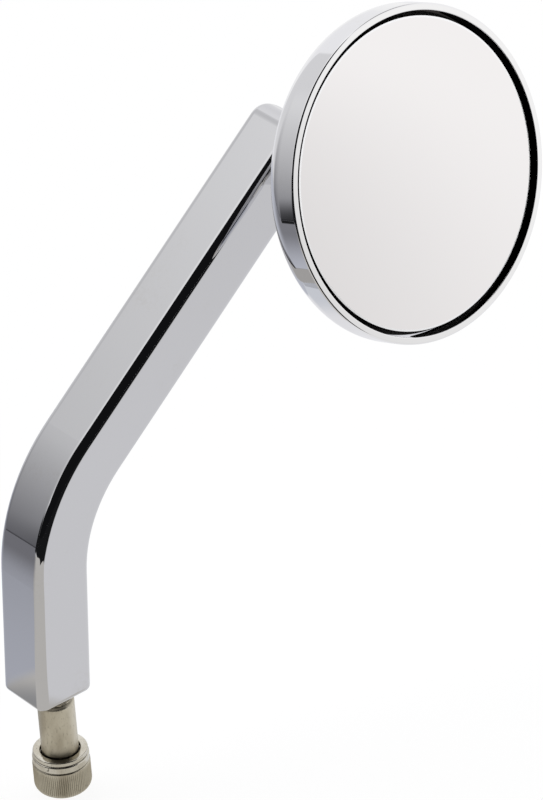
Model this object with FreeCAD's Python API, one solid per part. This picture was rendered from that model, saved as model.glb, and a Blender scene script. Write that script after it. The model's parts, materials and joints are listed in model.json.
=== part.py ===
"""Round handlebar mirror on a bent square bar, held by one screw in its foot.

Millimetres, +Z up. The origin is the middle of the screw hole on the foot face.
+Z runs up the screw's axis, the bar bends towards +X and the glass faces -Y.
"""
import FreeCAD
import Part
import math
import os

# Bar stem: a square bar, bent once, with a softly arched upper end
bar_width = 15.875
bar_depth = 15.875
bar_edge_radius = 2.2
foot_edge_radius = 1.6
foot_length = 34.6
foot_lean = 3.9
bend_radius = 41.0
bend_angle = 46.25
arm_length = 87.4
tip_length = 6.5
tip_radius = 12.5
tip_corner_radius = 4.8

# Mounting screw and its washers
screw_diameter = 9.2
screw_length = 38.1
screw_head_diameter = 14.3
screw_head_height = 8.1
screw_head_edge_radius = 2.2
screw_tip_chamfer = 1.0
screw_socket_flats = 7.94
screw_socket_depth = 4.6
grip_length = 18.5
flat_washer_outer = 13.6
flat_washer_clearance = 0.7
flat_washer_thickness = 1.3
lock_washer_outer = 14.05
lock_washer_clearance = 0.375
lock_washer_thickness = 2.0
lock_washer_slit = 0.9
lock_washer_slit_angle = 25.0
tapped_hole_depth = 24.0
tapped_hole_crossing = 27.8
tapped_hole_countersink = 0.3
drill_point_angle = 118.0

# Ball stud in the upper end of the bar, and the grub screw that locks it
ball_diameter = 12.7
neck_diameter = 6.0
stud_reach = 9.0
stud_shank_diameter = 7.4
stud_shank_length = 11.0
stud_tip_chamfer = 0.8
stud_groove_depth = 0.65
stud_groove_play = 0.17
stud_groove_setback = 5.5
grub_diameter = 4.83
grub_point_chamfer = 0.9
grub_sink = 0.1
grub_socket_flats = 2.4
grub_socket_depth = 2.2

# Mirror head: a turned cup with a trumpet back
head_pan = 5.8
head_tilt = 16.7
ball_setback = 31.1
rim_width = 1.7
rim_edge_radius = 0.6
wall_depth = 4.9
back_edge_radius = 6.8
back_wall = 3.0
back_blend_radius = 12.0
boss_diameter = 24.0
boss_edge_radius = 3.0
pocket_inner_diameter = 30.0
ledge_width = 6.5
socket_mouth_angle = 56.0

# Glass and its adhesive pad, and the gap between the glass and the rim
glass_diameter = 73.9
glass_gap = 1.35
glass_thickness = 3.0
glass_recess = 1.05
glass_bevel = 0.2
pad_thickness = 0.8
pad_side_gap = 0.3

# Ball joint inside the boss: two plastic seats, a pressure cup, springs and a plug
seat_thickness = 1.6
rear_seat_mouth_angle = 55.0
rear_seat_brim_angle = 88.0
front_seat_angle = 48.0
front_seat_hole = 2.4
cup_floor = 2.2
cup_dish_angle = 58.0
spring_side_gap = 0.3
spring_inner = 8.4
spring_thickness = 0.8
spring_cone = 0.5
plug_diameter = 20.0
plug_length = 6.0
plug_chamfer = 0.6
plug_socket_flats = 8.0
plug_socket_depth = 4.0
plug_thread_relief = 0.8
plug_shoulder = 1.0

# Fits
thread_clearance = 0.05
slip_clearance = 0.05
ball_clearance = 0.12
cup_clearance = 0.15
stack_clearance = 0.05

V = FreeCAD.Vector
X_AXIS = V(1, 0, 0)
Y_AXIS = V(0, 1, 0)
Z_AXIS = V(0, 0, 1)


def plane_point(point):
    """A point of a profile: radius or width along X, height along Z."""
    return V(point[0], 0, point[1])


def line(start, end):
    """A straight edge of a profile in the XZ plane."""
    return Part.LineSegment(plane_point(start), plane_point(end)).toShape()


def arc(start, middle, end):
    """A round edge of a profile in the XZ plane, through three points."""
    return Part.Arc(plane_point(start), plane_point(middle), plane_point(end)).toShape()


def on_circle(centre, radius, angle):
    """The point at an angle in degrees, counted from +X towards +Z."""
    turn = math.radians(angle)
    return (centre[0] + radius * math.cos(turn), centre[1] + radius * math.sin(turn))


def corner(centre, radius, first_angle, last_angle):
    """A round edge about a centre, from one angle to another."""
    middle_angle = (first_angle + last_angle) / 2.0
    return arc(on_circle(centre, radius, first_angle), on_circle(centre, radius, middle_angle),
               on_circle(centre, radius, last_angle))


def face_of(edges):
    """The flat face inside a closed chain of edges."""
    return Part.Face(Part.Wire(edges))


def turned(edges):
    """A closed half profile turned once round the Z axis."""
    return face_of(edges).revolve(V(0, 0, 0), Z_AXIS, 360.0)


def outline(points):
    """Straight edges through the points and back to the first one."""
    return [line(start, end) for start, end in zip(points, points[1:] + points[:1])]


def hexagon(flats, height):
    """A hexagonal prism standing on the XY plane, given across its flats."""
    reach = flats / 2.0 / math.cos(math.radians(30))
    corners = [V(*on_circle((0, 0), reach, 60 * step), 0) for step in range(7)]
    return Part.Face(Part.makePolygon(corners)).extrude(V(0, 0, height))


def moved(shape, rotation, place):
    """A copy of a shape, turned and then put in its place."""
    copy = shape.copy()
    copy.Placement = FreeCAD.Placement(place, rotation) * copy.Placement
    return copy


# Centreline of the bar in the XZ plane, which the screw hole's axis crosses inside the bar
def heading(angle):
    """Direction in the XZ plane, leaning from +Z towards +X."""
    return V(math.sin(math.radians(angle)), 0, math.cos(math.radians(angle)))


def side(angle):
    """Direction across the bar, on the inside of its bend."""
    return V(math.cos(math.radians(angle)), 0, -math.sin(math.radians(angle)))


arm_lean = foot_lean + bend_angle
foot_start = V(-tapped_hole_crossing * math.tan(math.radians(foot_lean)), 0, 0)
bend_start = foot_start + heading(foot_lean) * foot_length
bend_centre = bend_start + side(foot_lean) * bend_radius
bend_end = bend_centre - side(arm_lean) * bend_radius
arm_end = bend_end + heading(arm_lean) * arm_length
ball_centre = arm_end - Y_AXIS * (bar_depth / 2.0 + stud_reach)

# Bores of the washers round the screw, and the groove that the grub screw bites in
flat_washer_inner = screw_diameter + flat_washer_clearance
lock_washer_inner = screw_diameter + lock_washer_clearance
stud_groove_width = grub_diameter + stud_groove_play

# Heights under the foot
washer_top = -grip_length
lock_washer_top = washer_top - flat_washer_thickness
screw_seat = lock_washer_top - lock_washer_thickness

# The cup is as wide as the glass, the gap round it and the rim
rim_diameter = glass_diameter + 2.0 * (glass_gap + rim_width)

# Heights in the head, counted from the ball's centre towards the glass
rim_front = ball_setback
glass_front = rim_front - glass_recess
glass_back = glass_front - glass_thickness
pad_back = glass_back - pad_thickness
back_plane = rim_front - wall_depth - back_edge_radius

# Widths of the ball joint's bores: the cup and the springs go in through the plug's thread
plug_bore = plug_diameter / 2.0 + thread_clearance
cup_bore = plug_bore - plug_shoulder
cup_diameter = 2.0 * (cup_bore - cup_clearance)
spring_outer = cup_diameter - 2.0 * spring_side_gap

# Radii and heights of the ball joint, from the ball outwards
ball_radius = ball_diameter / 2.0
seat_inner = ball_radius + ball_clearance
seat_outer = seat_inner + seat_thickness
socket_radius = seat_outer + ball_clearance
cup_front = socket_radius + cup_floor
spring_back = cup_front + stack_clearance
spring_height = 2.0 * (spring_thickness + spring_cone) + stack_clearance
plug_back = spring_back + spring_height + stack_clearance

# Head parts are drawn about the ball's centre with the glass towards +Z, and turned together
head_turn = (FreeCAD.Rotation(Z_AXIS, head_pan) * FreeCAD.Rotation(-X_AXIS, head_tilt)
             * FreeCAD.Rotation(X_AXIS, 90))


def in_head(shape):
    """A head part in its place on the bar."""
    return moved(shape, head_turn, ball_centre)


# Bar stem
def bar_edge_points(offset):
    """Start and end of the bend along a line beside the centreline."""
    return bend_start + side(foot_lean) * offset, bend_end + side(arm_lean) * offset


def tip_corner(sign):
    """A rounded corner of the arched end, as its points on the side, in its middle and on the arch."""
    along = heading(arm_lean)
    across = side(arm_lean) * sign
    offset = bar_width / 2.0 - tip_corner_radius
    reach = tip_radius - tip_corner_radius
    join = math.asin(offset / reach)
    middle = (math.pi / 2.0 + join) / 2.0
    arch_centre = arm_end + along * (tip_length - tip_radius)
    centre = arch_centre + along * (reach * math.cos(join)) + across * offset
    on_side = centre + across * tip_corner_radius
    in_middle = centre + (along * math.cos(middle) + across * math.sin(middle)) * tip_corner_radius
    on_arch = arch_centre + (along * math.cos(join) + across * math.sin(join)) * tip_radius
    return on_side, in_middle, on_arch


def bent_bar():
    """The bar's outline in the XZ plane, drawn out to its depth, with rounded edges."""
    half = bar_width / 2.0
    foot_half = half / math.cos(math.radians(foot_lean))
    bend_middle = (foot_lean + arm_lean) / 2.0
    outer_start, outer_end = bar_edge_points(-half)
    inner_start, inner_end = bar_edge_points(half)
    outer_middle = bend_centre - side(bend_middle) * (bend_radius + half)
    inner_middle = bend_centre - side(bend_middle) * (bend_radius - half)
    outer_foot = foot_start - X_AXIS * foot_half
    inner_foot = foot_start + X_AXIS * foot_half
    tip = [tip_corner(-1.0), tip_corner(1.0)]
    tip_middle = arm_end + heading(arm_lean) * tip_length
    edges = [
        Part.LineSegment(inner_foot, outer_foot).toShape(),
        Part.LineSegment(outer_foot, outer_start).toShape(),
        Part.Arc(outer_start, outer_middle, outer_end).toShape(),
        Part.LineSegment(outer_end, tip[0][0]).toShape(),
        Part.Arc(tip[0][0], tip[0][1], tip[0][2]).toShape(),
        Part.Arc(tip[0][2], tip_middle, tip[1][2]).toShape(),
        Part.Arc(tip[1][2], tip[1][1], tip[1][0]).toShape(),
        Part.LineSegment(tip[1][0], inner_end).toShape(),
        Part.Arc(inner_end, inner_middle, inner_start).toShape(),
        Part.LineSegment(inner_start, inner_foot).toShape(),
    ]
    face = face_of(edges)
    face.translate(Y_AXIS * (-bar_depth / 2.0))
    bar = face.extrude(Y_AXIS * bar_depth)
    long_edges = [edge for edge in bar.Edges if runs_along_bar(edge)]
    bar = bar.makeFillet(bar_edge_radius, long_edges)
    foot_edges = [edge for edge in bar.Edges if edge.BoundBox.ZMax < foot_edge_radius / 10.0]
    return bar.makeFillet(foot_edge_radius, foot_edges)


def runs_along_bar(edge):
    """True for the edges of the front and back faces, apart from those at the foot."""
    box = edge.BoundBox
    flat_in_y = box.YLength < bar_edge_radius / 10.0
    at_foot = box.ZMax < bar_edge_radius / 10.0
    return flat_in_y and not at_foot


def tapped_hole():
    """The blind hole for the mounting screw, with a drill point and a countersunk mouth."""
    radius = screw_diameter / 2.0 + thread_clearance
    mouth = radius + tapped_hole_countersink
    point = radius / math.tan(math.radians(drill_point_angle / 2.0))
    profile = [(0, -tapped_hole_countersink), (mouth + tapped_hole_countersink, -tapped_hole_countersink),
               (radius, tapped_hole_countersink), (radius, tapped_hole_depth),
               (0, tapped_hole_depth + point)]
    return turned(outline(profile))


def stud_hole():
    """The blind hole for the ball stud's shank in the bar's front face."""
    radius = stud_shank_diameter / 2.0 + slip_clearance
    mouth = arm_end - Y_AXIS * (bar_depth / 2.0)
    return Part.makeCylinder(radius, stud_shank_length + slip_clearance, mouth, Y_AXIS)


def grub_place():
    """The grub screw's axis where it crosses the stud's axis."""
    return arm_end + Y_AXIS * (stud_groove_setback - bar_depth / 2.0)


def grub_hole():
    """The tapped hole for the grub screw, from the bar's inner side to the stud."""
    radius = grub_diameter / 2.0 + thread_clearance
    return Part.makeCylinder(radius, bar_width, grub_place(), side(arm_lean))


def stem():
    """The bent bar with its three holes."""
    return bent_bar().cut(tapped_hole()).cut(stud_hole()).cut(grub_hole())


# Mounting hardware
def mount_screw():
    """Socket screw: rounded head below, plain rod above, hexagon socket in the head."""
    head_radius = screw_head_diameter / 2.0
    head_bottom = screw_seat - screw_head_height
    rod = screw_diameter / 2.0
    tip = screw_seat + screw_length
    round_centre = (head_radius - screw_head_edge_radius, head_bottom + screw_head_edge_radius)
    edges = [
        line((0, head_bottom), (round_centre[0], head_bottom)),
        corner(round_centre, screw_head_edge_radius, -90, 0),
        line((head_radius, round_centre[1]), (head_radius, screw_seat)),
        line((head_radius, screw_seat), (rod, screw_seat)),
        line((rod, screw_seat), (rod, tip - screw_tip_chamfer)),
        line((rod, tip - screw_tip_chamfer), (rod - screw_tip_chamfer, tip)),
        line((rod - screw_tip_chamfer, tip), (0, tip)),
        line((0, tip), (0, head_bottom)),
    ]
    socket = hexagon(screw_socket_flats, screw_socket_depth)
    socket.translate(V(0, 0, head_bottom))
    return turned(edges).cut(socket)


def ring(outer, inner, thickness, bottom):
    """A flat ring round the Z axis."""
    low = V(0, 0, bottom)
    return Part.makeCylinder(outer / 2.0, thickness, low).cut(Part.makeCylinder(inner / 2.0, thickness, low))


def flat_washer():
    """The plain washer under whatever the screw clamps."""
    return ring(flat_washer_outer, flat_washer_inner, flat_washer_thickness, lock_washer_top)


def lock_washer():
    """The spring washer on the screw's head, with its slanting slit."""
    washer = ring(lock_washer_outer, lock_washer_inner, lock_washer_thickness, screw_seat)
    reach = lock_washer_outer / 2.0
    height = 3.0 * lock_washer_thickness
    slit = Part.makeBox(reach, lock_washer_slit, height, V(0, -lock_washer_slit / 2.0, -height / 2.0))
    slit = moved(slit, FreeCAD.Rotation(X_AXIS, lock_washer_slit_angle),
                 V(0, 0, screw_seat + lock_washer_thickness / 2.0))
    return washer.cut(slit)


# Ball stud and its grub screw
def ball_stud():
    """Ball, neck and grooved shank turned in one piece, drawn with the ball towards +Z."""
    neck = neck_diameter / 2.0
    shank = stud_shank_diameter / 2.0
    groove = shank - stud_groove_depth
    neck_angle = -90 + math.degrees(math.asin(neck / ball_radius))
    neck_top = on_circle((0, 0), ball_radius, neck_angle)
    face = -stud_reach
    groove_top = face - stud_groove_setback + stud_groove_width / 2.0
    groove_bottom = groove_top - stud_groove_width
    end = face - stud_shank_length
    shank_points = [neck_top, (neck, face), (shank, face), (shank, groove_top), (groove, groove_top),
                    (groove, groove_bottom), (shank, groove_bottom), (shank, end + stud_tip_chamfer),
                    (shank - stud_tip_chamfer, end), (0, end), (0, ball_radius)]
    edges = [corner((0, 0), ball_radius, 90, neck_angle)]
    edges += [line(start, last) for start, last in zip(shank_points, shank_points[1:])]
    return moved(turned(edges), FreeCAD.Rotation(X_AXIS, 90), ball_centre)


def stud_grub_screw():
    """Headless socket screw from the bar's inner side into the stud's groove."""
    radius = grub_diameter / 2.0
    point = stud_shank_diameter / 2.0 - stud_groove_depth + slip_clearance
    end = bar_width / 2.0 - grub_sink
    profile = [(0, point), (radius - grub_point_chamfer, point), (radius, point + grub_point_chamfer),
               (radius, end), (0, end)]
    socket = hexagon(grub_socket_flats, grub_socket_depth)
    socket.translate(V(0, 0, end - grub_socket_depth))
    screw = turned(outline(profile)).cut(socket)
    return moved(screw, FreeCAD.Rotation(Z_AXIS, side(arm_lean)), grub_place())


# Mirror head
def mirror_housing():
    """The cup, its rim, the trumpet back and the boss with the ball socket, turned in one piece."""
    rim = rim_diameter / 2.0
    inner = rim - rim_width
    boss = boss_diameter / 2.0
    plug_bore_end = plug_back - plug_thread_relief
    pocket_inner = pocket_inner_diameter / 2.0
    pocket_outer = inner - ledge_width
    pocket_floor = back_plane + back_wall
    mouth = on_circle((0, 0), socket_radius, socket_mouth_angle - 90)
    boss_end = mouth[1]
    rim_in_centre = (inner + rim_edge_radius, rim_front - rim_edge_radius)
    rim_out_centre = (rim - rim_edge_radius, rim_front - rim_edge_radius)
    back_centre = (rim - back_edge_radius, rim_front - wall_depth)
    blend_centre = (boss + back_blend_radius, back_plane - back_blend_radius)
    boss_centre = (boss - boss_edge_radius, boss_end + boss_edge_radius)
    edges = [
        line((inner, pad_back), (inner, rim_in_centre[1])),
        corner(rim_in_centre, rim_edge_radius, 180, 90),
        line((rim_in_centre[0], rim_front), (rim_out_centre[0], rim_front)),
        corner(rim_out_centre, rim_edge_radius, 90, 0),
        line((rim, rim_out_centre[1]), (rim, back_centre[1])),
        corner(back_centre, back_edge_radius, 0, -90),
        line((back_centre[0], back_plane), (blend_centre[0], back_plane)),
        corner(blend_centre, back_blend_radius, 90, 180),
        line((boss, blend_centre[1]), (boss, boss_centre[1])),
        corner(boss_centre, boss_edge_radius, 0, -90),
        line((boss_centre[0], boss_end), mouth),
        corner((0, 0), socket_radius, socket_mouth_angle - 90, 0),
    ]
    bore = [(socket_radius, 0), (cup_bore, 0), (cup_bore, plug_bore_end), (plug_bore, plug_bore_end),
            (plug_bore, pad_back), (pocket_inner, pad_back), (pocket_inner, pocket_floor),
            (pocket_outer, pocket_floor), (pocket_outer, pad_back), (inner, pad_back)]
    edges += [line(start, end) for start, end in zip(bore, bore[1:])]
    return in_head(turned(edges))


def glass_pad():
    """The black adhesive ring on the cup's ledge, a little wider than the glass."""
    outer = rim_diameter - 2.0 * (rim_width + pad_side_gap)
    inner = rim_diameter - 2.0 * (rim_width + ledge_width)
    return in_head(ring(outer, inner, pad_thickness, pad_back))


def mirror_glass():
    """The flat round glass with a ground edge on both sides."""
    radius = glass_diameter / 2.0
    profile = [(0, glass_back), (radius - glass_bevel, glass_back), (radius, glass_back + glass_bevel),
               (radius, glass_front - glass_bevel), (radius - glass_bevel, glass_front), (0, glass_front)]
    return in_head(turned(outline(profile)))


# Ball joint
def seat_ring(first_angle, last_angle):
    """A ball seat between two angles, counted in the profile from +X towards the glass."""
    inner_first = on_circle((0, 0), seat_inner, first_angle)
    inner_last = on_circle((0, 0), seat_inner, last_angle)
    outer_first = on_circle((0, 0), seat_outer, first_angle)
    outer_last = on_circle((0, 0), seat_outer, last_angle)
    edges = [
        corner((0, 0), seat_inner, first_angle, last_angle),
        line(inner_last, outer_last),
        corner((0, 0), seat_outer, last_angle, first_angle),
        line(outer_first, inner_first),
    ]
    return turned(edges)


def ball_seat_rear():
    """The seat that the ball is pressed into, with a wide mouth for the swinging neck."""
    return in_head(seat_ring(rear_seat_mouth_angle - 90, rear_seat_brim_angle - 90))


def ball_seat_front():
    """The seat cap on the glass side of the ball, with a grease hole in its middle."""
    hole_angle = math.degrees(math.asin(front_seat_hole / 2.0 / seat_inner))
    return in_head(seat_ring(90 - front_seat_angle, 90 - hole_angle))


def pressure_cup():
    """The metal cup that carries the spring force to the front seat."""
    radius = cup_diameter / 2.0
    brim = on_circle((0, 0), socket_radius, 90 - cup_dish_angle)
    edges = [corner((0, 0), socket_radius, 90, 90 - cup_dish_angle)]
    points = [brim, (radius, brim[1]), (radius, cup_front), (0, cup_front), (0, socket_radius)]
    edges += [line(start, end) for start, end in zip(points, points[1:])]
    return in_head(turned(edges))


def disc_springs():
    """Two coned spring discs, set rim to rim."""
    outer = spring_outer / 2.0
    inner = spring_inner / 2.0
    profile = [(inner, 0), (outer, spring_cone), (outer, spring_cone + spring_thickness),
               (inner, spring_thickness)]
    lower = turned(outline(profile))
    upper = moved(lower, FreeCAD.Rotation(X_AXIS, 180), V(0, 0, spring_height))
    pair = Part.makeCompound([lower, upper])
    pair.translate(V(0, 0, spring_back))
    return in_head(pair)


def preload_plug():
    """The threaded plug that sets the spring force, with a hexagon socket."""
    radius = plug_diameter / 2.0
    front = plug_back + plug_length
    profile = [(0, plug_back), (radius - plug_chamfer, plug_back), (radius, plug_back + plug_chamfer),
               (radius, front - plug_chamfer), (radius - plug_chamfer, front), (0, front)]
    socket = hexagon(plug_socket_flats, plug_socket_depth)
    socket.translate(V(0, 0, front - plug_socket_depth))
    return in_head(turned(outline(profile)).cut(socket))


PIECES = [stem, mount_screw, flat_washer, lock_washer, ball_stud, stud_grub_screw, mirror_housing,
          ball_seat_rear, ball_seat_front, pressure_cup, disc_springs, preload_plug, glass_pad, mirror_glass]

os.makedirs("parts", exist_ok=True)
for piece in PIECES:
    shape = piece()
    shape.exportStep("parts/" + piece.__name__ + ".step")
    print(piece.__name__, "solids", len(shape.Solids), "valid", shape.isValid(), "volume", round(shape.Volume, 1))
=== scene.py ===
"""Looks of a round handlebar mirror: finishes, mounting hardware, studio and camera.

Metres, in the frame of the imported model: +Z up the mounting screw, the bar bends
towards +X and the glass faces -Y.
"""
import json
import logging
import math
from abc import ABC, abstractmethod
from dataclasses import dataclass
from enum import Enum
from typing import Any, ClassVar, Dict, List, Optional, Sequence, Tuple, Union

import bpy
import numpy as np
from mathutils import Matrix, Vector


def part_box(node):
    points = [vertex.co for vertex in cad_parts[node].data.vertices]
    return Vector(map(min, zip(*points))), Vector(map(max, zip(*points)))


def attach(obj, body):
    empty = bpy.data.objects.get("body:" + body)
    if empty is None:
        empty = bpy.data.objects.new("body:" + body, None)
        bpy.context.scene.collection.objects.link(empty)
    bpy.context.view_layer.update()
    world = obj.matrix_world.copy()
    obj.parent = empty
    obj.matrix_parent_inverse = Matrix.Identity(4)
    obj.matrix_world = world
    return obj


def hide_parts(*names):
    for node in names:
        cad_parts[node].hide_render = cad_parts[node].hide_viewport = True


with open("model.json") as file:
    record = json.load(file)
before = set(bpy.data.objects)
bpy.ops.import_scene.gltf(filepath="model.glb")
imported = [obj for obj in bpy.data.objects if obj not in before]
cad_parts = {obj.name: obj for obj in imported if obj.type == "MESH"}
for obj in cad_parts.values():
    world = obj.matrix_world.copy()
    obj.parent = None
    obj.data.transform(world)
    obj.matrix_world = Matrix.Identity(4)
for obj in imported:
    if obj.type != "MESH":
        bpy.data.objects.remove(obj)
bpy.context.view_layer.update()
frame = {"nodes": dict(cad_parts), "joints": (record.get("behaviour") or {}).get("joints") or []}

MM = 0.001
LOG = logging.getLogger("handlebar_mirror")

Colour = Tuple[float, float, float]
Point = Tuple[float, float, float]
Span = Tuple[float, float]
Cut = Union[float, np.ndarray]
Socket = bpy.types.NodeSocket


class Body(str, Enum):
    """The bodies that pieces ride on."""

    STEM = "stem"
    HEAD = "head"


class Slot(str, Enum):
    """The record's material slots of the pieces made here."""

    SCREW = "nickel_screw"
    WASHER = "nickel_washer"
    CUP = "chrome_cup"
    GLASS = "silvered_glass"


class Ends(Enum):
    """How the first and the last row of a grid end."""

    FANS = "each closed by a fan"
    JOINED = "joined to each other"


def rgba(colour: Colour) -> Tuple[float, float, float, float]:
    """The colour with full cover."""
    return (colour[0], colour[1], colour[2], 1.0)


def heading(azimuth: float, elevation: float) -> Vector:
    """Unit direction from degrees.

    Args:
        azimuth: counted from +Y towards +X.
        elevation: counted up from the floor.

    Returns:
        The direction (sin az cos el, cos az cos el, sin el).
    """
    turn = math.radians(azimuth)
    rise = math.radians(elevation)
    return Vector((math.sin(turn) * math.cos(rise), math.cos(turn) * math.cos(rise), math.sin(rise)))


@dataclass(frozen=True)
class NodeBench:
    """A node tree with short calls for adding and joining nodes."""

    tree: bpy.types.NodeTree

    def add(self, kind: str, inputs: Optional[Dict[Any, Any]] = None, **settings: Any) -> bpy.types.Node:
        """Add a node.

        Args:
            kind: the node's type.
            inputs: values or other nodes' outputs, by input name or number.
            settings: the node's own properties.

        Returns:
            The new node.
        """
        node = self.tree.nodes.new(kind)
        for name, value in settings.items():
            setattr(node, name, value)
        for name, value in (inputs or {}).items():
            self.feed(value, node.inputs[name])
        return node

    def feed(self, value: Any, socket: Socket) -> None:
        """Link an output to a socket, or set the socket to a plain value.

        Args:
            value: another node's output, or a plain value.
            socket: the input to feed.
        """
        if isinstance(value, Socket):
            self.tree.links.new(value, socket)
        else:
            socket.default_value = value

    def math(self, operation: str, *values: Any) -> Socket:
        """The result of a Math node on one to three values."""
        node = self.add("ShaderNodeMath", dict(enumerate(values)), operation=operation)
        return node.outputs[0]

    def ramp(self, value: Any, low: float, high: float, first: float = 0.0, last: float = 1.0) -> Socket:
        """Smooth step of a value.

        Args:
            value: the socket to read.
            low: where the step starts.
            high: where the step ends.
            first: the result up to low.
            last: the result from high on.

        Returns:
            The stepped value.
        """
        inputs = {"Value": value, "From Min": low, "From Max": high, "To Min": first, "To Max": last}
        node = self.add("ShaderNodeMapRange", inputs, interpolation_type="SMOOTHSTEP")
        return node.outputs["Result"]

    def slope(self, value: Any, low: float, high: float) -> Socket:
        """Even rise from 0 at low to 1 at high."""
        node = self.add("ShaderNodeMapRange", {"Value": value, "From Min": low, "From Max": high})
        return node.outputs["Result"]

    def dot(self, vector: Any, direction: Any) -> Socket:
        """Dot product of two vectors."""
        node = self.add("ShaderNodeVectorMath", {0: vector, 1: direction}, operation="DOT_PRODUCT")
        return node.outputs["Value"]

    def distance(self, vector: Any, place: Any) -> Socket:
        """Distance between two points."""
        node = self.add("ShaderNodeVectorMath", {0: vector, 1: place}, operation="DISTANCE")
        return node.outputs["Value"]

    def mix(self, factor: Any, first: Any, second: Any) -> Socket:
        """Mix two colours.

        Args:
            factor: share of the second colour.
            first: the colour at a share of 0.
            second: the colour at a share of 1.

        Returns:
            The mixed colour.
        """
        node = self.add("ShaderNodeMix", data_type="RGBA")
        self.feed(factor, node.inputs[0])
        self.feed(first, node.inputs[6])
        self.feed(second, node.inputs[7])
        return node.outputs[2]

    def noise(self, vector: Any, scale: Any, detail: float = 2.0) -> Socket:
        """Soft noise from 0 to 1 on a vector."""
        node = self.add("ShaderNodeTexNoise", {"Vector": vector, "Scale": scale, "Detail": detail})
        return node.outputs["Fac"]

    def round_axis(self, vector: Any) -> Tuple[Socket, Socket, Socket]:
        """Split coordinates round their Z axis.

        Args:
            vector: the coordinates.

        Returns:
            The distance from the axis, Y and Z.
        """
        parts = self.add("ShaderNodeSeparateXYZ", {0: vector})
        flat = self.add("ShaderNodeCombineXYZ", {"X": parts.outputs["X"], "Y": parts.outputs["Y"]})
        radius = self.add("ShaderNodeVectorMath", {0: flat.outputs[0]}, operation="LENGTH")
        return radius.outputs["Value"], parts.outputs["Y"], parts.outputs["Z"]

    def put_out(self, shader: Socket, kind: str = "ShaderNodeOutputMaterial") -> None:
        """Make a shader the surface of the material or the world."""
        self.feed(shader, self.add(kind).inputs["Surface"])


def empty_material(name: str) -> Tuple[bpy.types.Material, NodeBench]:
    """Start a material.

    Args:
        name: the material's name.

    Returns:
        The material without nodes, and the bench to fill it.
    """
    made = bpy.data.materials.new(name)
    made.use_nodes = True
    made.node_tree.nodes.clear()
    return made, NodeBench(made.node_tree)


class Effect(Enum):
    """Surface effects that several finishes share, each a node group."""

    POLISH = "polish_waves"
    HAIRLINES = "hairlines"
    SPECKS = "plating_specks"
    RINGS = "turned_rings"


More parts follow.
